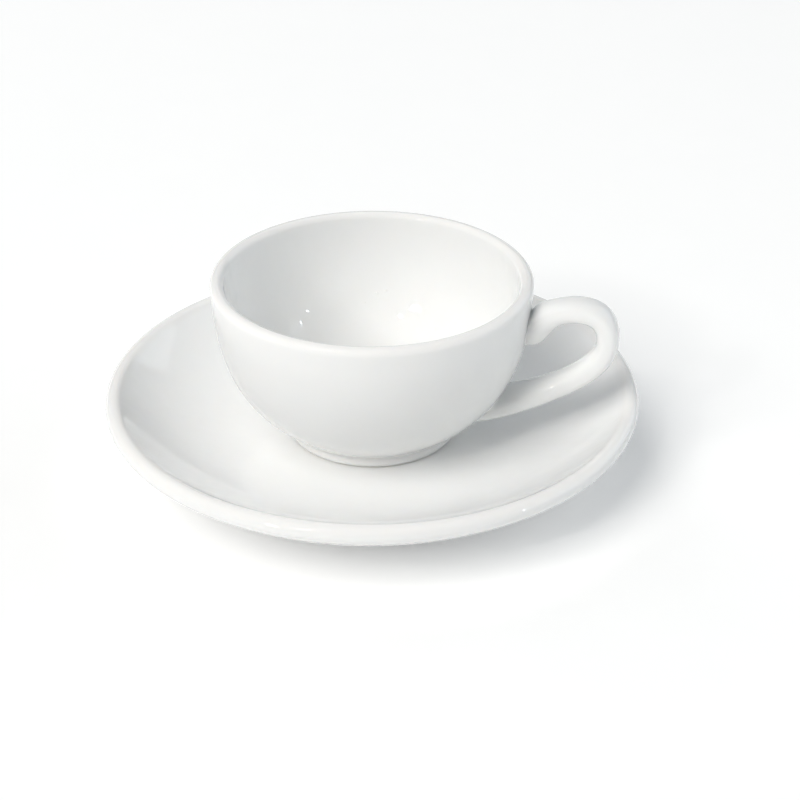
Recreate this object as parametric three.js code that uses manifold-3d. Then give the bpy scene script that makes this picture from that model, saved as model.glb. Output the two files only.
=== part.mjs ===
// Espresso cup and saucer in glazed white porcelain: a dished saucer, a round bowl on a foot ring,
// and a looped handle that is cast on its own and stuck to the bowl.
// Millimetres, +Z up. The origin is the saucer's centre on the table, and the handle points along +X.

import * as THREE from 'three';
import { mergeVertices } from 'three/addons/utils/BufferGeometryUtils.js';
import Module from 'manifold-3d';

// Saucer
const SAUCER_RADIUS = 60.2;
const SAUCER_HEIGHT = 18.3;
const SAUCER_RIM_THICKNESS = 4;
const SAUCER_RIM_SLOPE = 42; // degrees from level, where the dish meets the rim
const SAUCER_RIM_SWEEP = 12; // how far that slope carries into the dish
const SAUCER_WELL_RADIUS = 24; // flat seat for the cup
const SAUCER_WELL_SWEEP = 14; // how far the flat carries into the dish
const SAUCER_WALL = 4;
const SAUCER_FOOT_RADIUS = 33;
const SAUCER_FOOT_WIDTH = 3.5;
const SAUCER_FOOT_RECESS = 2.6; // height of the hollow inside the foot ring

// Bowl of the cup, with heights counted from the bottom of its foot ring
const CUP_RADIUS = 35.5;
const CUP_HEIGHT = 38.2;
const CUP_RIM_WALL = 3;
const CUP_BASE_WALL = 3.8;
const CUP_FLOOR = 2.8;
const CUP_FLOOR_RADIUS = 13; // flat part of the floor inside
const CUP_FOOT_RADIUS = 18.9;
const CUP_FOOT_WIDTH = 3;
const CUP_FOOT_HEIGHT = 2.7;
const CUP_FOOT_FILLET = 0.4; // hollow between the foot ring and the bowl
const BOWL_BASE_SLOPE = 32.4; // degrees from level, where the bowl leaves the foot
const BOWL_BASE_SWEEP = 15.6;
const BOWL_RIM_FLARE = 2; // degrees from upright, at the lip
const BOWL_RIM_SWEEP = 15.3;

// Handle
const HANDLE_THICKNESS = 5;
const HANDLE_WIDTH = 7;
const HANDLE_REACH = 19.3; // from the lip to the outside of the loop
const HANDLE_BEND_BELOW_LIP = 11.4; // height of the outermost point
const HANDLE_BEND_SWEEP_UP = 9.5;
const HANDLE_BEND_SWEEP_DOWN = 7.6;
const HANDLE_SQUARENESS = 0.85; // 1 is an ellipse, less is squarer
const UPPER_ROOT_BELOW_LIP = 8.4;
const UPPER_ROOT_SLOPE = 35; // degrees from level
const UPPER_ROOT_SWEEP = 8.5;
const UPPER_ROOT_TOE = 5; // how far the root hangs below its centre line
const UPPER_ROOT_WIDTH = 8.6;
const UPPER_ROOT_FLARE = 8; // length over which the root spreads
const UPPER_ROOT_DEPTH = 7; // length of its rounded end, counted in from the wall
const LOWER_ROOT_HEIGHT = 8.2;
const LOWER_ROOT_SLOPE = 17; // degrees from level
const LOWER_ROOT_SWEEP = 14;
const LOWER_ROOT_WIDTH = 11.6;
const LOWER_ROOT_FLARE = 20;
const LOWER_ROOT_DEPTH = 12;

// Clearances and edges
const SEAT_GAP = 0.1; // between the cup's foot and the saucer
const LUTING_GAP = 0.3; // between the handle and the bowl
const FOOT_BEVEL = 0.5; // edges of both foot rings

// Fineness
const TURN_STEPS = 60;
const CURVE_STEPS = 12;
const EDGE_STEPS = 7;
const HANDLE_STEPS = 14;
const ROOT_STEPS = 4;
const HANDLE_SIDES = 18;
const SEARCH_STEPS = 40;
const END_SHARE = 0.97; // where a rounded end is closed flat, as a share of its depth

const radians = THREE.MathUtils.degToRad;
const point = (r, z) => new THREE.Vector2(r, z);
const heading = (angle) => point(Math.cos(angle), Math.sin(angle));

const glaze = () => new THREE.MeshStandardMaterial({ color: 0xf4f4f2, roughness: 0.12, metalness: 0 });

// Curve parameter where one coordinate of a rising curve reaches a value
function parameterAt(curve, axis, value) {
  let low = 0;
  let high = 1;
  for (let step = 0; step < SEARCH_STEPS; step += 1) {
    const middle = (low + high) / 2;
    if (curve(middle)[axis] < value) low = middle;
    else high = middle;
  }
  return (low + high) / 2;
}

// A curve beside another one, on its left, at a distance that runs from one value to another
function beside(curve, startDistance, endDistance) {
  return (t) => {
    const along = curve.getTangent(t);
    const distance = THREE.MathUtils.lerp(startDistance, endDistance, t);
    return curve.getPoint(t).add(point(-along.y, along.x).multiplyScalar(distance));
  };
}

const spread = (steps, from, to) =>
  Array.from({ length: steps + 1 }, (_, step) => THREE.MathUtils.lerp(from, to, step / steps));

const arc = (centre, radius, from, to) =>
  spread(EDGE_STEPS, from, to).map((angle) => heading(angle).multiplyScalar(radius).add(centre));

// Foot ring in section, from the hollow under the piece to the outside of the ring
function footRing(outerRadius, width, recess, outerHeight) {
  const innerRadius = outerRadius - width;
  return [
    point(0, recess),
    point(innerRadius - FOOT_BEVEL, recess),
    point(innerRadius, recess - FOOT_BEVEL),
    point(innerRadius, FOOT_BEVEL),
    point(innerRadius + FOOT_BEVEL, 0),
    point(outerRadius - FOOT_BEVEL, 0),
    point(outerRadius, FOOT_BEVEL),
    point(outerRadius, outerHeight),
  ];
}

function lathe(profile) {
  return new THREE.LatheGeometry(profile, TURN_STEPS).rotateX(Math.PI / 2);
}

// Saucer

const wellHeight = SAUCER_FOOT_RECESS + SAUCER_WALL;

function saucerProfile() {
  const slope = radians(SAUCER_RIM_SLOPE);
  const rimRadius = SAUCER_RIM_THICKNESS / 2;
  const rimCentre = point(SAUCER_RADIUS - rimRadius, SAUCER_HEIGHT - rimRadius);
  const rimTop = heading(slope + Math.PI / 2).multiplyScalar(rimRadius).add(rimCentre);
  const dish = new THREE.CubicBezierCurve(
    point(SAUCER_WELL_RADIUS, wellHeight),
    point(SAUCER_WELL_RADIUS + SAUCER_WELL_SWEEP, wellHeight),
    heading(slope).multiplyScalar(-SAUCER_RIM_SWEEP).add(rimTop),
    rimTop,
  );
  const underside = beside(dish, -SAUCER_WALL, -SAUCER_RIM_THICKNESS);
  const atFoot = parameterAt(underside, 'x', SAUCER_FOOT_RADIUS);
  const footHeight = underside(atFoot).y;
  return [
    ...footRing(SAUCER_FOOT_RADIUS, SAUCER_FOOT_WIDTH, SAUCER_FOOT_RECESS, footHeight),
    ...spread(CURVE_STEPS, atFoot, 1).slice(1).map(underside),
    ...arc(rimCentre, rimRadius, slope - Math.PI / 2, slope + Math.PI / 2).slice(1),
    ...spread(CURVE_STEPS, 1, 0).slice(1).map((t) => dish.getPoint(t)),
    point(0, wellHeight),
  ];
}

// Bowl

const lipRadius = CUP_RIM_WALL / 2;
const lipCentre = point(CUP_RADIUS - lipRadius, CUP_HEIGHT - lipRadius);
const lipFlare = radians(BOWL_RIM_FLARE);
const baseSlope = radians(BOWL_BASE_SLOPE);
const bowlBase = point(CUP_FOOT_RADIUS + CUP_FOOT_FILLET, CUP_FOOT_HEIGHT);
const lipEdge = heading(-lipFlare).multiplyScalar(lipRadius).add(lipCentre);
const bowlWall = new THREE.CubicBezierCurve(
  bowlBase,
  heading(baseSlope).multiplyScalar(BOWL_BASE_SWEEP).add(bowlBase),
  heading(Math.PI / 2 - lipFlare).multiplyScalar(-BOWL_RIM_SWEEP).add(lipEdge),
  lipEdge,
);

function bowlProfile() {
  const inside = beside(bowlWall, CUP_BASE_WALL, CUP_RIM_WALL);
  const insideBase = inside(0);
  const turnRadius = (insideBase.x + CUP_FLOOR_RADIUS) / 2;
  const floorTop = insideBase.y - (insideBase.x - turnRadius) * Math.tan(baseSlope);
  const floorTurn = new THREE.QuadraticBezierCurve(
    insideBase,
    point(turnRadius, floorTop),
    point(CUP_FLOOR_RADIUS, floorTop),
  );
  const filletHeight = CUP_FOOT_HEIGHT - CUP_FOOT_FILLET;
  return [
    ...footRing(CUP_FOOT_RADIUS, CUP_FOOT_WIDTH, floorTop - CUP_FLOOR, filletHeight),
    ...spread(CURVE_STEPS, 0, 1).map((t) => bowlWall.getPoint(t)),
    ...arc(lipCentre, lipRadius, -lipFlare, Math.PI - lipFlare).slice(1),
    ...spread(CURVE_STEPS, 1, 0).slice(1).map(inside),
    ...floorTurn.getPoints(EDGE_STEPS).slice(1),
    point(0, floorTop),
  ];
}

// The bowl's outside, solid and a luting gap larger, which trims the handle's two ends
function bowlTrimmer() {
  const skin = beside(bowlWall, -LUTING_GAP, -LUTING_GAP);
  const footSkin = CUP_FOOT_RADIUS + LUTING_GAP;
  return lathe([
    point(0, -CUP_HEIGHT),
    point(footSkin, -CUP_HEIGHT),
    point(footSkin, Math.min(CUP_FOOT_HEIGHT - CUP_FOOT_FILLET, skin(0).y)),
    ...spread(CURVE_STEPS, 0, 1).map(skin),
    point(skin(1).x, 2 * CUP_HEIGHT),
    point(0, 2 * CUP_HEIGHT),
  ]);
}

// Handle

// Centre line of the handle in the plane of the loop, from deep in the bowl at the upper root to
// deep in the bowl at the lower root, with the length run so far at each stop
function handleStops() {
  const onWall = (height) => bowlWall.getPoint(parameterAt((t) => bowlWall.getPoint(t), 'y', height));
  const upper = onWall(CUP_HEIGHT - UPPER_ROOT_BELOW_LIP);
  const lower = onWall(LOWER_ROOT_HEIGHT);
  const upperWay = heading(radians(UPPER_ROOT_SLOPE));
  const lowerWay = heading(radians(LOWER_ROOT_SLOPE));
  const bend = point(CUP_RADIUS + HANDLE_REACH - HANDLE_THICKNESS / 2, CUP_HEIGHT - HANDLE_BEND_BELOW_LIP);
  const inwards = (root, way, depth) => way.clone().multiplyScalar(-depth).add(root);
  const curves = [
    new THREE.LineCurve(inwards(upper, upperWay, UPPER_ROOT_DEPTH), upper),
    new THREE.CubicBezierCurve(
      upper,
      upperWay.clone().multiplyScalar(UPPER_ROOT_SWEEP).add(upper),
      point(bend.x, bend.y + HANDLE_BEND_SWEEP_UP),
      bend,
    ),
    new THREE.CubicBezierCurve(
      bend,
      point(bend.x, bend.y - HANDLE_BEND_SWEEP_DOWN),
      lowerWay.clone().multiplyScalar(LOWER_ROOT_SWEEP).add(lower),
      lower,
    ),
    new THREE.LineCurve(lower, inwards(lower, lowerWay, LOWER_ROOT_DEPTH)),
  ];
  const steps = [ROOT_STEPS, HANDLE_STEPS, HANDLE_STEPS, ROOT_STEPS];
  const stops = [];
  let run = -UPPER_ROOT_DEPTH;
  curves.forEach((curve, index) => {
    const first = index === 0 ? 0 : 1;
    for (let step = first; step <= steps[index]; step += 1) {
      const t = step / steps[index];
      const at = curve.getPointAt(t);
      if (stops.length > 0) run += at.distanceTo(stops[stops.length - 1].at);
      stops.push({ at, along: curve.getTangentAt(t), run });
    }
  });
  const length = run - LOWER_ROOT_DEPTH;
  return stops.map((stop) => ({ ...stop, fromUpper: stop.run, fromLower: length - stop.run }));
}

// How far a root's spread is still felt at a distance from it: 1 at the root, 0 past its flare
const flare = (distance, length) => 1 - THREE.MathUtils.smoothstep(distance, 0, length);

// How much of its size a root keeps inside the wall, where its end is rounded off
function rounding(distance, depth) {
  const inside = THREE.MathUtils.clamp(-distance / depth, 0, END_SHARE);
  return Math.sqrt(1 - inside * inside);
}

// One section of the handle: a squarish oval across the centre line, with a toe at the upper root
function handleRing({ at, along, fromUpper, fromLower }) {
  const upper = flare(fromUpper, UPPER_ROOT_FLARE);
  const lower = flare(fromLower, LOWER_ROOT_FLARE);
  const scale = rounding(fromUpper, UPPER_ROOT_DEPTH) * rounding(fromLower, LOWER_ROOT_DEPTH);
  const outer = HANDLE_THICKNESS / 2;
  const inner = THREE.MathUtils.lerp(outer, UPPER_ROOT_TOE, upper);
  const upperSpread = (UPPER_ROOT_WIDTH - HANDLE_WIDTH) * upper;
  const lowerSpread = (LOWER_ROOT_WIDTH - HANDLE_WIDTH) * lower;
  const halfWidth = (HANDLE_WIDTH + upperSpread + lowerSpread) / 2;
  const squared = (value) => Math.sign(value) * Math.abs(value) ** HANDLE_SQUARENESS;
  return Array.from({ length: HANDLE_SIDES }, (_, side) => {
    const angle = (2 * Math.PI * side) / HANDLE_SIDES;
    const reach = Math.cos(angle) > 0 ? outer : inner;
    const across = scale * reach * squared(Math.cos(angle));
    const sideways = scale * halfWidth * squared(Math.sin(angle));
    return new THREE.Vector3(at.x - along.y * across, sideways, at.y + along.x * across);
  });
}

// Closed skin over a row of rings that have the same number of points, with a flat fan at each end
function loft(rings) {
  const sides = rings[0].length;
  const corners = rings.flat();
  const faces = [];
  for (let ring = 0; ring + 1 < rings.length; ring += 1) {
    for (let side = 0; side < sides; side += 1) {
      const near = ring * sides + side;
      const next = ring * sides + ((side + 1) % sides);
      faces.push(near, near + sides, next, next, near + sides, next + sides);
    }
  }
  const last = (rings.length - 1) * sides;
  for (let side = 1; side + 1 < sides; side += 1) {
    faces.push(0, side, side + 1);
    faces.push(last, last + side + 1, last + side);
  }
  const geometry = new THREE.BufferGeometry().setFromPoints(corners);
  geometry.setIndex(faces);
  return geometry;
}

// Joining and cutting of solids

const wasm = await Module();
wasm.setup();

function toSolid(geometry) {
  const bare = geometry.clone();
  bare.deleteAttribute('normal');
  bare.deleteAttribute('uv');
  const merged = mergeVertices(bare);
  const index = Array.from(merged.index.array);
  const triangles = [];
  for (let corner = 0; corner < index.length; corner += 3) {
    const [a, b, c] = index.slice(corner, corner + 3);
    if (a !== b && b !== c && c !== a) triangles.push(a, b, c);
  }
  return new wasm.Manifold(new wasm.Mesh({
    numProp: 3,
    vertProperties: Float32Array.from(merged.attributes.position.array),
    triVerts: Uint32Array.from(triangles),
  }));
}

function toGeometry(solid) {
  const mesh = solid.getMesh();
  const geometry = new THREE.BufferGeometry();
  geometry.setAttribute('position', new THREE.BufferAttribute(mesh.vertProperties, 3));
  geometry.setIndex(new THREE.BufferAttribute(mesh.triVerts, 1));
  geometry.computeVertexNormals();
  return geometry;
}

// Assembly

function named(name, geometry) {
  const mesh = new THREE.Mesh(geometry, glaze());
  mesh.name = name;
  return mesh;
}

const handle = toSolid(loft(handleStops().map(handleRing))).subtract(toSolid(bowlTrimmer()));

const cup = new THREE.Group();
cup.position.z = wellHeight + SEAT_GAP;
cup.add(named('cup_bowl', lathe(bowlProfile())));
cup.add(named('cup_handle', toGeometry(handle)));

const espressoCupAndSaucer = new THREE.Group();
espressoCupAndSaucer.add(named('saucer', lathe(saucerProfile())));
espressoCupAndSaucer.add(cup);

export default espressoCupAndSaucer;
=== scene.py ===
"""Espresso cup and saucer in glazed white porcelain, on a pale floor in soft studio light.

Metres, +Z up. The saucer stands on the floor at the origin and the cup's handle points along +X.
"""
import math

import bpy
import numpy as np
from mathutils import Matrix, Vector


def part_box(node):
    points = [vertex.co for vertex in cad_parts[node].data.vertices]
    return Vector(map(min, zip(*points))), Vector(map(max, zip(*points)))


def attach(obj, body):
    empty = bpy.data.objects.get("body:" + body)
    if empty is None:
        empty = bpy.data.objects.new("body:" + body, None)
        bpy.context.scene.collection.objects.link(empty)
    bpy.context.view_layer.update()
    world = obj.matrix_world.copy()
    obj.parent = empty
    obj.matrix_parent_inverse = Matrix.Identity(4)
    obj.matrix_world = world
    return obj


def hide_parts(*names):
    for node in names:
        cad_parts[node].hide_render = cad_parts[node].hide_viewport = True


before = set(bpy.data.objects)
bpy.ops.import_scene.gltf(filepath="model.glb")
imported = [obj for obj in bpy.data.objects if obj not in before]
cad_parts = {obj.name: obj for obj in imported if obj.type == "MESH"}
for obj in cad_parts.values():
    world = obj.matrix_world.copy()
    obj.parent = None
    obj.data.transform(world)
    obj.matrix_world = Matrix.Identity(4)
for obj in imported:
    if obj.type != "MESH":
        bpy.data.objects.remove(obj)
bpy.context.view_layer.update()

MM = 0.001
QUARTER = math.pi / 2

# Places taken from the frame
_, saucer_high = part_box("saucer")
bowl_low, bowl_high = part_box("cup_bowl")
_, handle_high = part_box("cup_handle")
SAUCER_RADIUS = saucer_high[0]
SAUCER_HEIGHT = saucer_high[2]
CUP_BASE = bowl_low[2]
CUP_RADIUS = bowl_high[0]
CUP_HEIGHT = bowl_high[2] - CUP_BASE
HANDLE_END = handle_high[0]

# Saucer
SAUCER_RIM = 4.0 * MM
SAUCER_RIM_SLOPE = math.radians(42)
SAUCER_RIM_SWEEP = 12 * MM
SAUCER_WELL_RADIUS = 24 * MM
SAUCER_WELL_SWEEP = 14 * MM
SAUCER_WALL = 4 * MM
SAUCER_FOOT_RADIUS = 33 * MM
SAUCER_FOOT_WIDTH = 3.5 * MM
SAUCER_FOOT_RECESS = 2.6 * MM
SAUCER_WELL = SAUCER_FOOT_RECESS + SAUCER_WALL

# Bowl, with heights counted from the bottom of its foot ring
CUP_RIM_WALL = 3 * MM
CUP_BASE_WALL = 3.8 * MM
CUP_FLOOR = 2.8 * MM
CUP_FLOOR_RADIUS = 13 * MM
CUP_FOOT_RADIUS = 18.9 * MM
CUP_FOOT_WIDTH = 3 * MM
CUP_FOOT_HEIGHT = 2.7 * MM
CUP_FOOT_FILLET = 0.4 * MM
BOWL_BASE_SLOPE = math.radians(32.4)
BOWL_BASE_SWEEP = 15.6 * MM
BOWL_RIM_FLARE = math.radians(2)
BOWL_RIM_SWEEP = 15.3 * MM

# Handle
HANDLE_THICKNESS = 5 * MM
HANDLE_WIDTH = 7 * MM
HANDLE_BEND_BELOW_LIP = 11.4 * MM
HANDLE_BEND_SWEEP_UP = 9.5 * MM
HANDLE_BEND_SWEEP_DOWN = 7.6 * MM
HANDLE_SQUARENESS = 0.74  # 1 gives an oval section, less makes it squarer
UPPER_ROOT_BELOW_LIP = 8.4 * MM
UPPER_ROOT_SLOPE = math.radians(35)
UPPER_ROOT_SWEEP = 8.5 * MM
UPPER_ROOT_TOE = 5 * MM
UPPER_ROOT_WIDTH = 8.6 * MM
UPPER_ROOT_FLARE = 8 * MM
UPPER_ROOT_DEPTH = 7 * MM
LOWER_ROOT_HEIGHT = 8.2 * MM
LOWER_ROOT_SLOPE = math.radians(17)
LOWER_ROOT_SWEEP = 14 * MM
LOWER_ROOT_WIDTH = 11.6 * MM
LOWER_ROOT_FLARE = 20 * MM
LOWER_ROOT_DEPTH = 12 * MM
ROOT_SINK = 0.3 * MM  # how far the handle's ends run into the bowl's wall
UPPER_ROOT_FILLET = 0.25 * MM
UPPER_ROOT_NIP = 0.26  # share by which the upper root draws in just before the wall
UPPER_ROOT_NIP_REACH = 2.4 * MM
LOWER_ROOT_FILLET = 1.8 * MM
HANDLE_PAINTED_LIGHT = 0.5  # share of the hollow's lighter colour that the handle takes, as painted light

# Foot rings
SAUCER_FOOT_ROUND = 0.7 * MM
CUP_FOOT_ROUND = 0.8 * MM
CUP_FOOT_FLARE = 0.5 * MM  # how far the ring spreads towards the table
CUP_FOOT_SWEEP = 0.8 * MM  # how far the hollow between ring and bowl reaches along each
BOWL_WALL_LEAD = 0.1 * MM  # least step outwards from that hollow to the wall's next point

# Fineness
TURN_STEPS = 192
CURVE_STEPS = 40
ROUND_STEPS = 8
LIP_STEPS = 18
FLAT_POINTS = 12
WELL_POINTS = 16
PATH_STEPS = 300
HANDLE_SIDES = 56
HANDLE_RINGS = 150
RING_CROWDING = 0.85  # 0 spaces the handle's rings evenly, more crowds them at its roots
WALL_POINTS = 480
WALL_BATCHES = 60


# Curves in section: arrays of (radius, height)

def heading(angle):
    return np.array([math.cos(angle), math.sin(angle)])


def bezier(points, steps):
    """Points and unit tangents along a cubic curve."""
    a, b, c, d = [np.asarray(point, float) for point in points]
    t = np.linspace(0, 1, steps + 1)[:, None]
    s = 1 - t
    places = s**3 * a + 3 * s * s * t * b + 3 * s * t * t * c + t**3 * d
    along = s * s * (b - a) + 2 * s * t * (c - b) + t * t * (d - c)
    return places, along / np.linalg.norm(along, axis=1)[:, None]


def corner_curve(start, corner, end, steps):
    """Points along a parabola that leaves start towards a corner and comes from there to end."""
    places, _ = bezier([
        start,
        start + (corner - start) * 2 / 3,
        end + (corner - end) * 2 / 3,
        end,
    ], steps)
    return places


def flat(start, end, height, points):
    """Points at one height, from one radius to another."""
    return np.stack([np.linspace(start, end, points), np.full(points, height)], 1)


def beside(places, along, start, end):
    """Points to the left of a curve, at a distance that runs from start to end."""
    left = np.stack([-along[:, 1], along[:, 0]], 1)
    return places + left * np.linspace(start, end, len(places))[:, None]


def arc(centre, radius, start, end, steps):
    angles = np.linspace(start, end, steps + 1)
    return np.asarray(centre) + radius * np.stack([np.cos(angles), np.sin(angles)], 1)


def foot_ring(outer_radius, width, recess, outer_height, r, spread=0.0):
    """From the axis under the piece, over a foot ring rounded by r, to the outside of the ring."""
    inner_radius = outer_radius - width
    lean = math.atan2(spread, outer_height - r)
    return np.vstack([
        flat(0, inner_radius - 2 * r, recess, FLAT_POINTS),
        arc((inner_radius - r, recess - r), r, QUARTER, 0, ROUND_STEPS),
        arc((inner_radius + r, r), r, 2 * QUARTER, 3 * QUARTER, ROUND_STEPS),
        arc((outer_radius + spread - r, r), r, -QUARTER, lean, ROUND_STEPS),
        [(outer_radius, outer_height)],
    ])


def saucer_profile():
    """From the axis under the saucer, round its rim, to the axis on top."""
    rim_radius = SAUCER_RIM / 2
    rim_centre = np.array([SAUCER_RADIUS - rim_radius, SAUCER_HEIGHT - rim_radius])
    rim_top = rim_centre + rim_radius * heading(SAUCER_RIM_SLOPE + QUARTER)
    dish, along = bezier([
        (SAUCER_WELL_RADIUS, SAUCER_WELL),
        (SAUCER_WELL_RADIUS + SAUCER_WELL_SWEEP, SAUCER_WELL),
        rim_top - SAUCER_RIM_SWEEP * heading(SAUCER_RIM_SLOPE),
        rim_top,
    ], CURVE_STEPS)
    underside = beside(dish, along, -SAUCER_WALL, -SAUCER_RIM)
    outside_foot = underside[underside[:, 0] > SAUCER_FOOT_RADIUS + SAUCER_FOOT_ROUND]
    foot_top = np.interp(SAUCER_FOOT_RADIUS, underside[:, 0], underside[:, 1])
    foot = foot_ring(
        SAUCER_FOOT_RADIUS,
        SAUCER_FOOT_WIDTH,
        SAUCER_FOOT_RECESS,
        foot_top - SAUCER_FOOT_ROUND,
        SAUCER_FOOT_ROUND,
    )
    rim_start = SAUCER_RIM_SLOPE - QUARTER
    rim_end = SAUCER_RIM_SLOPE + QUARTER
    return np.vstack([
        foot,
        outside_foot[:-1],
        arc(rim_centre, rim_radius, rim_start, rim_end, LIP_STEPS),
        dish[::-1][1:-1],
        flat(SAUCER_WELL_RADIUS, 0, SAUCER_WELL, WELL_POINTS),
    ])


def bowl_wall():
    """The bowl's outside from foot to lip, its tangents, and the lip's centre and radius."""
    lip_radius = CUP_RIM_WALL / 2
    lip_centre = np.array([CUP_RADIUS - lip_radius, CUP_HEIGHT - lip_radius])
    lip_edge = lip_centre + lip_radius * heading(-BOWL_RIM_FLARE)
    base = np.array([CUP_FOOT_RADIUS + CUP_FOOT_FILLET, CUP_FOOT_HEIGHT])
    places, along = bezier([
        base,
        base + BOWL_BASE_SWEEP * heading(BOWL_BASE_SLOPE),
        lip_edge - BOWL_RIM_SWEEP * heading(QUARTER - BOWL_RIM_FLARE),
        lip_edge,
    ], CURVE_STEPS)
    return places, along, lip_centre, lip_radius


def bowl_profile():
    """From the axis under the bowl, over its lip, to the axis on its floor."""
    wall, along, lip_centre, lip_radius = bowl_wall()
    inside = beside(wall, along, CUP_BASE_WALL, CUP_RIM_WALL)
    turn_radius = (inside[0, 0] + CUP_FLOOR_RADIUS) / 2
    floor_top = inside[0, 1] - (inside[0, 0] - turn_radius) * math.tan(BOWL_BASE_SLOPE)
    turn = np.array([turn_radius, floor_top])
    floor_edge = np.array([CUP_FLOOR_RADIUS, floor_top])
    floor_turn = corner_curve(inside[0], turn, floor_edge, ROUND_STEPS)
    lip = arc(lip_centre, lip_radius, -BOWL_RIM_FLARE, math.pi - BOWL_RIM_FLARE, LIP_STEPS)
    crease_height = CUP_FOOT_HEIGHT - CUP_FOOT_FILLET * math.tan(BOWL_BASE_SLOPE)
    crease = np.array([CUP_FOOT_RADIUS, crease_height])
    foot_top = crease - (0, CUP_FOOT_SWEEP)
    wall_start = crease + CUP_FOOT_SWEEP * heading(BOWL_BASE_SLOPE)
    foot_sweep = corner_curve(foot_top, crease, wall_start, ROUND_STEPS)
    foot = foot_ring(
        CUP_FOOT_RADIUS,
        CUP_FOOT_WIDTH,
        floor_top - CUP_FLOOR,
        foot_top[1],
        CUP_FOOT_ROUND,
        CUP_FOOT_FLARE,
    )
    outside = wall[:-1][wall[:-1, 0] > wall_start[0] + BOWL_WALL_LEAD]
    return np.vstack([
        foot,
        foot_sweep[1:],
        outside,
        lip,
        inside[::-1][1:],
        floor_turn[1:-1],
        flat(CUP_FLOOR_RADIUS, 0, floor_top, FLAT_POINTS),
    ])


# Meshes

def make_object(name, corners, faces):
    mesh = bpy.data.meshes.new(name)
    mesh.from_pydata([tuple(corner) for corner in corners], [], faces)
    mesh.validate()
    mesh.update()
    mesh.polygons.foreach_set("use_smooth", [True] * len(mesh.polygons))
    piece = bpy.data.objects.new(name, mesh)
    bpy.context.scene.collection.objects.link(piece)
    return piece


def mark(piece, name, values):
    """Give each corner of a piece a number that its material can read."""
    attribute = piece.data.attributes.new(name, "FLOAT", "POINT")
    attribute.data.foreach_set("value", values)


def turned(name, profile, base, hollow_from):
    """A piece turned from a section that starts and ends on the axis.

    The part of the section that starts at hollow_from is marked as hollow, and marked to take the full
    painted light in its colour.
    """
    rings = profile[1:-1]
    count = len(rings)
    angles = np.linspace(0, 2 * math.pi, TURN_STEPS, endpoint=False)
    corners = [(0, 0, base + profile[0, 1])]
    for angle in angles:
        for radius, height in rings:
            corners.append((radius * math.cos(angle), radius * math.sin(angle), base + height))
    corners.append((0, 0, base + profile[-1, 1]))
    last = len(corners) - 1
    faces = []
    for turn in range(TURN_STEPS):
        here = 1 + turn * count
        there = 1 + (turn + 1) % TURN_STEPS * count
        faces.append((0, there, here))
        for ring in range(count - 1):
            faces.append((here + ring, there + ring, there + ring + 1, here + ring + 1))
        faces.append((here + count - 1, there + count - 1, last))
    piece = make_object(name, corners, faces)
    hollow = (np.arange(count) >= hollow_from).astype(float)
    hollow = np.concatenate([[0], np.tile(hollow, TURN_STEPS), [1]])
    mark(piece, "hollow", hollow)
    # painted light: the hollow takes the lighter colour in full
    mark(piece, "painted_light", hollow)
    return piece


def handle_path():
    """Centre line of the handle, its tangents, and the run from the upper and the lower root."""
    wall, _, _, _ = bowl_wall()

    def on_wall(height):
        return np.array([np.interp(height, wall[:, 1], wall[:, 0]), height])

    upper = on_wall(CUP_HEIGHT - UPPER_ROOT_BELOW_LIP)
    lower = on_wall(LOWER_ROOT_HEIGHT)
    upper_way = heading(UPPER_ROOT_SLOPE)
    lower_way = heading(LOWER_ROOT_SLOPE)
    bend = np.array([HANDLE_END - HANDLE_THICKNESS / 2, CUP_HEIGHT - HANDLE_BEND_BELOW_LIP])
    first, first_along = bezier([
        upper,
        upper + UPPER_ROOT_SWEEP * upper_way,
        bend + (0, HANDLE_BEND_SWEEP_UP),
        bend,
    ], PATH_STEPS)
    second, second_along = bezier([
        bend,
        bend - (0, HANDLE_BEND_SWEEP_DOWN),
        lower + LOWER_ROOT_SWEEP * lower_way,
        lower,
    ], PATH_STEPS)
    depth = np.linspace(1, 0, PATH_STEPS, endpoint=False)[:, None]
    upper_end = upper - UPPER_ROOT_DEPTH * depth * upper_way
    lower_end = (lower - LOWER_ROOT_DEPTH * depth * lower_way)[::-1]
    places = np.vstack([upper_end, first, second[1:], lower_end])
    along = np.vstack([
        np.tile(upper_way, (PATH_STEPS, 1)),
        first_along,
        second_along[1:],
        np.tile(-lower_way, (PATH_STEPS, 1)),
    ])
    steps = np.linalg.norm(np.diff(places, axis=0), axis=1)
    run = np.concatenate([[0], np.cumsum(steps)]) - UPPER_ROOT_DEPTH
    return places, along, run, run[-1] - LOWER_ROOT_DEPTH - run


def flare(distance, length):
    """1 at a root, easing to 0 past its flare."""
    x = np.clip(distance / length, 0, 1)
    return 1 - x * x * (3 - 2 * x)


def rounding(distance, depth):
    """How much of its size a root keeps inside the wall, where its end is rounded off."""
    inside = np.clip(-distance / depth, 0, 1)
    return np.sqrt(1 - inside**2)


def squared(wave):
    """A sine or cosine, swelled so that an oval gets squarer."""
    return np.sign(wave) * np.abs(wave) ** HANDLE_SQUARENESS


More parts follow.
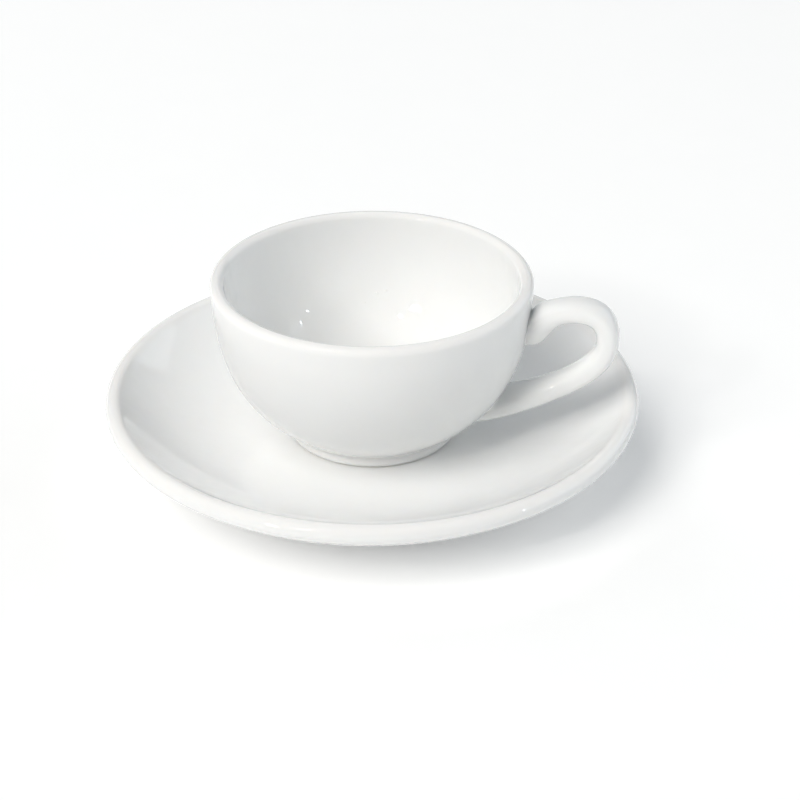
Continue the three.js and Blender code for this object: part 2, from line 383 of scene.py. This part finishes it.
def handle_skin():
    """The handle before it is trimmed: corners by path stop and by side, centre line and runs."""
    places, along, from_upper, from_lower = handle_path()
    upper = flare(from_upper, UPPER_ROOT_FLARE)
    lower = flare(from_lower, LOWER_ROOT_FLARE)
    scale = rounding(from_upper, UPPER_ROOT_DEPTH) * rounding(from_lower, LOWER_ROOT_DEPTH)
    outer = np.full(len(places), HANDLE_THICKNESS / 2)
    inner = outer + (UPPER_ROOT_TOE - outer) * upper
    upper_growth = (UPPER_ROOT_WIDTH - HANDLE_WIDTH) * upper
    lower_growth = (LOWER_ROOT_WIDTH - HANDLE_WIDTH) * lower
    width = HANDLE_WIDTH + upper_growth + lower_growth
    angles = np.linspace(0, 2 * math.pi, HANDLE_SIDES, endpoint=False)
    lift = squared(np.cos(angles))
    side = squared(np.sin(angles))
    across = np.where(lift > 0, outer[:, None], inner[:, None]) * lift * scale[:, None]
    sideways = width[:, None] / 2 * side * scale[:, None]
    skin = np.stack([
        places[:, :1] - along[:, 1:] * across,
        sideways,
        places[:, 1:] + along[:, :1] * across,
    ], 2)
    centre = np.stack([places[:, 0], np.zeros(len(places)), places[:, 1]], 1)
    return skin, centre, from_upper, from_lower


def wall_distance(points):
    """Distance outside the bowl's wall, and the wall's outward normal there."""
    wall, along, _, _ = bowl_wall()
    fine = np.linspace(0, 1, WALL_POINTS)
    stops = np.linspace(0, 1, len(wall))
    wall = np.stack([np.interp(fine, stops, wall[:, i]) for i in (0, 1)], 1)
    out = np.stack([np.interp(fine, stops, along[:, 1]), -np.interp(fine, stops, along[:, 0])], 1)
    row = points.reshape(-1, 3)
    radius = np.hypot(row[:, 0], row[:, 1])
    place = np.stack([radius, row[:, 2]], 1)
    nearest = np.concatenate([
        np.argmin(((part[:, None] - wall[None]) ** 2).sum(2), axis=1)
        for part in np.array_split(place, WALL_BATCHES)
    ])
    distance = ((place - wall[nearest]) * out[nearest]).sum(1)
    turn = row[:, :2] / np.maximum(radius, MM)[:, None]
    normal = np.concatenate([out[nearest][:, :1] * turn, out[nearest][:, 1:]], 1)
    return distance.reshape(points.shape[:-1]), normal.reshape(points.shape)


def handle_corners():
    """The handle's skin, trimmed just inside the wall and swept out on to it in a fillet."""
    skin, centre, from_upper, from_lower = handle_skin()
    distance, _ = wall_distance(skin)
    middle = len(skin) // 2
    stops = np.arange(len(skin))
    spacing = np.linspace(0, 1, HANDLE_RINGS)
    spacing = spacing - RING_CROWDING * np.sin(2 * math.pi * spacing) / (2 * math.pi)
    rings = np.empty((HANDLE_RINGS, HANDLE_SIDES, 3))
    axis = np.empty_like(rings)
    upper_half = np.empty((HANDLE_RINGS, HANDLE_SIDES), bool)
    for side in range(HANDLE_SIDES):
        sunk = np.nonzero(distance[:, side] < -ROOT_SINK)[0]
        first = sunk[sunk < middle].max()
        last = sunk[sunk > middle].min()
        at = first + (last - first) * spacing
        for i in range(3):
            rings[:, side, i] = np.interp(at, stops, skin[:, side, i])
            axis[:, side, i] = np.interp(at, stops, centre[:, i])
        upper_half[:, side] = np.interp(at, stops, from_upper) < np.interp(at, stops, from_lower)
    distance, _ = wall_distance(rings)
    nearness = np.clip(1 - distance / UPPER_ROOT_NIP_REACH, 0, 1)
    nip = np.where(upper_half, UPPER_ROOT_NIP * nearness**2, 0)
    rings = axis + (rings - axis) * (1 - nip)[:, :, None]
    fillet = np.where(upper_half, UPPER_ROOT_FILLET, LOWER_ROOT_FILLET)
    distance, normal = wall_distance(rings)
    away = rings - axis
    away = away - normal * (away * normal).sum(2, keepdims=True)
    away = away / np.maximum(np.linalg.norm(away, axis=2, keepdims=True), MM * MM)
    depth = np.clip(fillet - np.maximum(distance, 0), 0, fillet)
    spread = fillet - np.sqrt(fillet**2 - depth**2)
    return rings + away * spread[:, :, None]


def handle_piece(name, base):
    rings = handle_corners()
    corners = [tuple(corner) for corner in (rings + (0, 0, base)).reshape(-1, 3)]
    faces = []
    for ring in range(HANDLE_RINGS - 1):
        for side in range(HANDLE_SIDES):
            near = ring * HANDLE_SIDES + side
            beyond = ring * HANDLE_SIDES + (side + 1) % HANDLE_SIDES
            faces.append((near, near + HANDLE_SIDES, beyond + HANDLE_SIDES, beyond))
    for first, ends_upper in ((0, True), ((HANDLE_RINGS - 1) * HANDLE_SIDES, False)):
        corners.append(tuple(np.mean(corners[first:first + HANDLE_SIDES], axis=0)))
        for side in range(HANDLE_SIDES):
            a = first + side
            b = first + (side + 1) % HANDLE_SIDES
            faces.append((len(corners) - 1, a, b) if ends_upper else (len(corners) - 1, b, a))
    piece = make_object(name, corners, faces)
    # painted light: the handle takes part of the hollow's lighter colour
    mark(piece, "painted_light", np.full(len(corners), HANDLE_PAINTED_LIGHT))
    return piece


# Materials

class Nodes:
    """A short way to add and join the nodes of one material."""

    def __init__(self, name):
        self.material = bpy.data.materials.new(name)
        self.material.use_nodes = True
        self.tree = self.material.node_tree
        self.shader = self.tree.nodes["Principled BSDF"]

    def add(self, kind, settings=None, **inputs):
        node = self.tree.nodes.new(kind)
        for key, value in (settings or {}).items():
            setattr(node, key, value)
        for key, value in inputs.items():
            self.put(value, node.inputs[key])
        return node

    def put(self, value, socket):
        if isinstance(value, bpy.types.NodeSocket):
            self.tree.links.new(value, socket)
        else:
            socket.default_value = value

    def shade(self, **values):
        """Set or join the shader's own sockets, with _ for a space in their names."""
        for key, value in values.items():
            self.put(value, self.shader.inputs[key.replace("_", " ")])

    def math(self, operation, a, b=0.0, clamp=False):
        node = self.tree.nodes.new("ShaderNodeMath")
        node.operation = operation
        node.use_clamp = clamp
        self.put(a, node.inputs[0])
        self.put(b, node.inputs[1])
        return node.outputs[0]

    def place(self):
        return self.add("ShaderNodeTexCoord").outputs["Object"]

    def attribute(self, name):
        return self.add("ShaderNodeAttribute", {"attribute_name": name}).outputs["Fac"]

    def noise(self, place, scale, detail=2.0, roughness=0.5):
        node = self.add("ShaderNodeTexNoise", Vector=place, Scale=scale, Detail=detail, Roughness=roughness)
        return node.outputs["Fac"]

    def cells(self, place, scale):
        """Distance from the middle of the nearest of many scattered cells."""
        return self.add("ShaderNodeTexVoronoi", Vector=place, Scale=scale).outputs["Distance"]

    def swing(self, noise, reach):
        """A noise made to swing about 0, as far as half of reach each way."""
        return self.math("MULTIPLY", self.math("SUBTRACT", noise, 0.5), reach)

    def ramp(self, value, low, high, to_low=0.0, to_high=1.0):
        node = self.add("ShaderNodeMapRange", {"interpolation_type": "SMOOTHSTEP"})
        for socket, number in zip(range(5), (value, low, high, to_low, to_high)):
            self.put(number, node.inputs[socket])
        return node.outputs[0]

    def mix(self, factor, a, b):
        node = self.add("ShaderNodeMix", {"data_type": "RGBA"}, Factor=factor, A=a, B=b)
        return node.outputs["Result"]


GLAZE_PAINTED_SHADE = (0.850, 0.853, 0.847, 1)  # painted shade: the outside is given a darker colour than the hollow
CUP_GLAZE_PAINTED_LIGHT = (0.914, 0.916, 0.909, 1)  # painted light: the cup's hollow is given a lighter colour than its outside
# painted light: the saucer's top is given a lighter colour than its underside
SAUCER_GLAZE_PAINTED_LIGHT = (0.972, 0.974, 0.968, 1)
GLAZE_THIN = (0.93, 0.922, 0.908, 1)  # the warmer body shows at edges
BARE_BODY = (0.80, 0.78, 0.74, 1)
IRON_SPECK = (0.45, 0.40, 0.34, 1)

# Where the glaze runs thin: how far this reaches from each edge
LIP_THIN_REACH = 2.2 * MM
FOOT_THIN_REACH = 0.8 * MM
RIM_THIN_REACH = 1.6 * MM

# Relief of the glaze. Scales count waves or cells to the metre
SWELL_SCALE = 95.0
SWELL_HEIGHT = 0.04 * MM
RIPPLE_SCALE = 240.0
CUP_RIPPLE_OUTSIDE = 0.02 * MM
CUP_RIPPLE_INSIDE = 0.12 * MM
SAUCER_RIPPLE_UNDER = 0.015 * MM
SAUCER_RIPPLE_TOP = 0.05 * MM
PIMPLE_SCALE = 300.0
PIMPLE_SIZE = 0.16  # share of a cell
PIMPLE_PATCH_SCALE = 55.0
PIMPLE_PATCH = (0.54, 0.66)  # noise levels between which pimples grow to full size
CUP_PIMPLE_HEIGHT = 0.12 * MM
SAUCER_PIMPLE_HEIGHT = 0.02 * MM

# Colour and gloss of the glaze
POOLING_SCALE = 38.0
POOLING_DETAIL = 3.0
POOLING_REACH = 0.5
SPECK_SCALE = 260.0
SPECK_SIZE = 0.085  # share of a cell
SPECK_EDGE = 0.02
SPECK_STRENGTH = 0.072
SPECK_PATCH_SCALE = 70.0
SPECK_PATCH = (0.60, 0.72)  # noise levels between which specks grow to full size
GLOSS_SCALE = 210.0
GLOSS_LEVELS = (0.3, 0.8)
GLOSS_ROUGHNESS = (0.045, 0.085)
GLAZE_IOR = 1.52
GLOW_THROUGH = 0.12  # porcelain lets a little light through
GLOW_THROUGH_SCALE = 1.2 * MM
GLOW_THROUGH_COLOURS = (0.9, 0.75, 0.6)

# Bare porcelain under the foot rings
BARE_HEIGHT = 0.35 * MM  # the glaze is wiped off below this height
BARE_EDGE = 0.1 * MM
BARE_RAGGED_SCALE = 420.0
BARE_RAGGED_HEIGHT = 0.3 * MM
BARE_ROUGHNESS = 0.7
GRAIN_SCALE = 2600.0
GRAIN_ROUGHNESS = 0.7
GRAIN_SHARE = 0.35
GRAIN_HEIGHT = 0.06 * MM
FINE_DETAIL = 4.0


def porcelain(name, base, edges, glaze_painted_light, ripple_outside, ripple_inside, pimple_height):
    """Clear gloss glaze over white porcelain, wiped off the foot ring's underside.

    base is the height that the foot stands at; edges are the heights where the glaze runs thin.
    """
    nodes = Nodes(name)
    place = nodes.place()
    height = nodes.add("ShaderNodeSeparateXYZ", Vector=place).outputs["Z"]
    hollow = nodes.attribute("hollow")
    # painted light: how far this corner's colour goes from the darker outside towards the lighter hollow
    painted_light = nodes.attribute("painted_light")

    # The foot's bare underside, and its grain
    ragged = nodes.swing(nodes.noise(place, BARE_RAGGED_SCALE, FINE_DETAIL), BARE_RAGGED_HEIGHT)
    foot = nodes.math("ADD", nodes.math("SUBTRACT", height, base), ragged)
    bare = nodes.ramp(foot, BARE_HEIGHT - BARE_EDGE, BARE_HEIGHT + BARE_EDGE, 1.0, 0.0)
    grain = nodes.noise(place, GRAIN_SCALE, FINE_DETAIL, GRAIN_ROUGHNESS)
    body = nodes.mix(nodes.math("MULTIPLY", grain, GRAIN_SHARE), BARE_BODY, GLAZE_THIN)

    # Colour: painted light and shade (a lighter hollow, a darker outside, the handle between), thin edges,
    # pooling and specks
    thin = 0.0
    for edge, reach in edges:
        gap = nodes.math("ABSOLUTE", nodes.math("SUBTRACT", height, edge))
        thin = nodes.math("MAXIMUM", nodes.ramp(gap, 0.0, reach, 1.0, 0.0), thin)
    pooling = nodes.swing(nodes.noise(place, POOLING_SCALE, POOLING_DETAIL), POOLING_REACH)
    thin = nodes.math("ADD", thin, pooling, clamp=True)
    # painted light and shade: the hollow is made lighter and the outside darker in colour
    glaze = nodes.mix(thin, nodes.mix(painted_light, GLAZE_PAINTED_SHADE, glaze_painted_light), GLAZE_THIN)
    speck_size = nodes.ramp(nodes.noise(place, SPECK_PATCH_SCALE), *SPECK_PATCH, 0.0, SPECK_SIZE)
    speck_edge = nodes.math("SUBTRACT", nodes.cells(place, SPECK_SCALE), speck_size)
    speck = nodes.ramp(speck_edge, -SPECK_EDGE, 0.0, SPECK_STRENGTH, 0.0)
    glaze = nodes.mix(speck, glaze, IRON_SPECK)

    # Gloss, a little uneven, and dull where the body is bare
    gloss = nodes.ramp(nodes.noise(place, GLOSS_SCALE), *GLOSS_LEVELS, *GLOSS_ROUGHNESS)
    roughness = nodes.math("ADD", gloss, nodes.math("MULTIPLY", bare, BARE_ROUGHNESS))

    # Relief: swell, ripple, pimples in the hollow, and the bare body's grain
    swell = nodes.math("MULTIPLY", nodes.noise(place, SWELL_SCALE, 1.0), SWELL_HEIGHT)
    ripple_height = nodes.ramp(hollow, 0.0, 1.0, ripple_outside, ripple_inside)
    ripple = nodes.math("MULTIPLY", nodes.noise(place, RIPPLE_SCALE, 1.0), ripple_height)
    pimple_size = nodes.ramp(nodes.noise(place, PIMPLE_PATCH_SCALE), *PIMPLE_PATCH, 0.0, PIMPLE_SIZE)
    pimple_edge = nodes.math("SUBTRACT", nodes.cells(place, PIMPLE_SCALE), pimple_size)
    pimple = nodes.ramp(pimple_edge, -PIMPLE_SIZE, 0.0, pimple_height, 0.0)
    pimple = nodes.math("MULTIPLY", pimple, hollow)
    tooth = nodes.math("MULTIPLY", nodes.math("MULTIPLY", grain, bare), GRAIN_HEIGHT)
    relief = nodes.math("ADD", nodes.math("ADD", swell, ripple), nodes.math("ADD", tooth, pimple))
    bump = nodes.add("ShaderNodeBump", Height=relief, Distance=1.0, Strength=1.0)

    nodes.shade(
        Base_Color=nodes.mix(bare, glaze, body),
        Roughness=roughness,
        Normal=bump.outputs["Normal"],
        IOR=GLAZE_IOR,
        Subsurface_Weight=GLOW_THROUGH,
        Subsurface_Radius=GLOW_THROUGH_COLOURS,
        Subsurface_Scale=GLOW_THROUGH_SCALE,
    )
    return nodes.material


# Pieces

def dress(piece, body, node, material):
    piece.data.materials.append(material)
    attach(piece, body)
    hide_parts(node)


cup_porcelain = porcelain(
    "cup_porcelain",
    base=CUP_BASE,
    edges=[
        (CUP_BASE + CUP_HEIGHT, LIP_THIN_REACH),
        (CUP_BASE + CUP_FOOT_HEIGHT / 2, FOOT_THIN_REACH),
    ],
    glaze_painted_light=CUP_GLAZE_PAINTED_LIGHT,
    ripple_outside=CUP_RIPPLE_OUTSIDE,
    ripple_inside=CUP_RIPPLE_INSIDE,
    pimple_height=CUP_PIMPLE_HEIGHT,
)
saucer_porcelain = porcelain(
    "saucer_porcelain",
    base=0.0,
    edges=[(SAUCER_HEIGHT, RIM_THIN_REACH)],
    glaze_painted_light=SAUCER_GLAZE_PAINTED_LIGHT,
    ripple_outside=SAUCER_RIPPLE_UNDER,
    ripple_inside=SAUCER_RIPPLE_TOP,
    pimple_height=SAUCER_PIMPLE_HEIGHT,
)

saucer_section = saucer_profile()
bowl_section = bowl_profile()
saucer_glazed = turned("saucer_glazed", saucer_section, 0.0, np.argmax(saucer_section[:, 1]))
bowl_glazed = turned("cup_bowl_glazed", bowl_section, CUP_BASE, np.argmax(bowl_section[:, 1]))
handle_glazed = handle_piece("cup_handle_glazed", CUP_BASE)
dress(saucer_glazed, "saucer", "saucer", saucer_porcelain)
dress(bowl_glazed, "cup", "cup_bowl", cup_porcelain)
dress(handle_glazed, "cup", "cup_handle", cup_porcelain)


# Floor, backdrop, camera and lights
# Bearings are counted from the view: 0 is right of the picture, 90 is away from the camera

VIEW_AZIMUTH = math.radians(10.5)
VIEW_ELEVATION = math.radians(30.36)
VIEW_DISTANCE = 0.36
VIEW_TARGET = Vector((6.2 * MM, 0, 12.8 * MM))
VIEW_ROLL = math.radians(0.15)
LENS = 70.63
SENSOR = 36.0
NEAREST_SEEN = 0.01

FLOOR_SIZE = 12.0
FLOOR_GLOW = 0.095  # a light table: lit a little from below
FLOOR_DARKER = (0.955, 0.955, 0.955, 1)
FLOOR_LIGHTER = (0.975, 0.975, 0.975, 1)
FLOOR_SHADE_SCALE = 60.0
FLOOR_SHADE_DETAIL = 3.0
FLOOR_ROUGHNESS = 0.9
FLOOR_SHINE = 0.1
BACKDROP_RADIUS = 2.0
BACKDROP_HEIGHT = 2.5
BACKDROP_STEPS = 96
BACKDROP_GLOW = 0.97

WARM = (1.0, 0.978, 0.94)
WHITE = (1.0, 1.0, 1.0)
COOL = (0.90, 0.96, 1.0)
PAPER_GLOW = (1, 1, 1, 1)
BLACK = (0, 0, 0, 1)
SKY = (0.905, 0.955, 1.0, 1)
SKY_STRENGTH = 0.28
PANEL_DISTANCE = 5.0
PANEL_AIM = Vector((0, 0, 20 * MM))

view_turn = Matrix.Rotation(VIEW_AZIMUTH, 3, "Z")


def add_floor():
    half = FLOOR_SIZE / 2
    corners = [(-half, -half, 0), (half, -half, 0), (half, half, 0), (-half, half, 0)]
    floor = make_object("floor", corners, [(0, 1, 2, 3)])
    nodes = Nodes("floor_paper")
    shade = nodes.noise(nodes.place(), FLOOR_SHADE_SCALE, FLOOR_SHADE_DETAIL)
    nodes.shade(
        Base_Color=nodes.mix(shade, FLOOR_DARKER, FLOOR_LIGHTER),
        Roughness=FLOOR_ROUGHNESS,
        Specular_IOR_Level=FLOOR_SHINE,
        Emission_Color=PAPER_GLOW,
        Emission_Strength=FLOOR_GLOW,
    )
    floor.data.materials.append(nodes.material)


def add_backdrop():
    """A white wall all round, seen by the camera alone, so that low views end in white."""
    angles = np.linspace(0, 2 * math.pi, BACKDROP_STEPS, endpoint=False)
    ring = [BACKDROP_RADIUS * heading(angle) for angle in angles]
    corners = [(x, y, height) for height in (0, BACKDROP_HEIGHT) for x, y in ring]
    faces = []
    for here in range(BACKDROP_STEPS):
        there = (here + 1) % BACKDROP_STEPS
        faces.append((there, here, here + BACKDROP_STEPS, there + BACKDROP_STEPS))
    wall = make_object("backdrop", corners, faces)
    nodes = Nodes("backdrop_paper")
    nodes.shade(
        Base_Color=BLACK,
        Specular_IOR_Level=0.0,
        Emission_Color=PAPER_GLOW,
        Emission_Strength=BACKDROP_GLOW,
    )
    wall.data.materials.append(nodes.material)
    wall.visible_diffuse = False
    wall.visible_glossy = False
    wall.visible_transmission = False
    wall.visible_shadow = False


def add_camera():
    camera = bpy.data.objects.new("camera", bpy.data.cameras.new("camera"))
    bpy.context.scene.collection.objects.link(camera)
    back = view_turn @ Vector((0, -math.cos(VIEW_ELEVATION), math.sin(VIEW_ELEVATION)))
    right = view_turn @ Vector((1, 0, 0))
    up = back.cross(right)
    rolled_right = math.cos(VIEW_ROLL) * right + math.sin(VIEW_ROLL) * up
    rolled_up = math.cos(VIEW_ROLL) * up - math.sin(VIEW_ROLL) * right
    turn = Matrix((rolled_right, rolled_up, back)).transposed().to_4x4()
    camera.matrix_world = Matrix.Translation(view_turn @ VIEW_TARGET + VIEW_DISTANCE * back) @ turn
    camera.data.lens = LENS
    camera.data.sensor_width = SENSOR
    camera.data.clip_start = NEAREST_SEEN
    bpy.context.scene.camera = camera


def add_panel(name, bearing, elevation, width, height, strength, colour, mirrored=True):
    """A soft box that faces the cup, with its bearing and elevation in degrees.

    At strength 1 it lights a card facing it as a white sky would. The glaze mirrors it if mirrored.
    """
    light = bpy.data.lights.new(name, "AREA")
    light.shape = "RECTANGLE"
    light.size = width
    light.size_y = height
    light.energy = strength * (math.pi * PANEL_DISTANCE) ** 2
    light.color = colour
    panel = bpy.data.objects.new(name, light)
    bpy.context.scene.collection.objects.link(panel)
    x, y = heading(math.radians(bearing)) * math.cos(math.radians(elevation))
    way = view_turn @ Vector((x, y, math.sin(math.radians(elevation))))
    panel.location = PANEL_AIM + way * PANEL_DISTANCE
    panel.rotation_euler = way.to_track_quat("Z", "Y").to_euler()
    panel.visible_glossy = mirrored


def add_sky():
    sky = bpy.data.worlds.new("studio")
    sky.use_nodes = True
    background = sky.node_tree.nodes["Background"]
    background.inputs["Color"].default_value = SKY
    background.inputs["Strength"].default_value = SKY_STRENGTH
    bpy.context.scene.world = sky


add_floor()
add_backdrop()
add_camera()
add_panel(
    "window_low_pane", bearing=229, elevation=30, width=0.40, height=0.42, strength=0.065, colour=WARM,
)
add_panel(
    "window_high_pane", bearing=240, elevation=42, width=0.38, height=0.26, strength=0.04, colour=WARM,
)
add_panel(
    "window_wall", bearing=226, elevation=40, width=2.90, height=2.00, strength=0.41, colour=WARM,
    mirrored=False,
)
add_panel(
    "window_top", bearing=229, elevation=60, width=2.60, height=2.00, strength=0.265, colour=WARM,
    mirrored=False,
)
add_panel(
    "left_wall", bearing=125, elevation=40, width=3.00, height=2.40, strength=0.16, colour=WHITE,
    mirrored=False,
)
add_panel(
    "far_wall", bearing=20, elevation=22, width=6.00, height=3.20, strength=0.265, colour=COOL,
)
add_panel(
    "right_lamp_low", bearing=334, elevation=24, width=0.14, height=0.20, strength=0.014, colour=COOL,
)
add_panel(
    "right_lamp_high", bearing=345, elevation=28, width=0.12, height=0.16, strength=0.010, colour=COOL,
)
add_sky()
bpy.context.scene.view_settings.view_transform = "Standard"
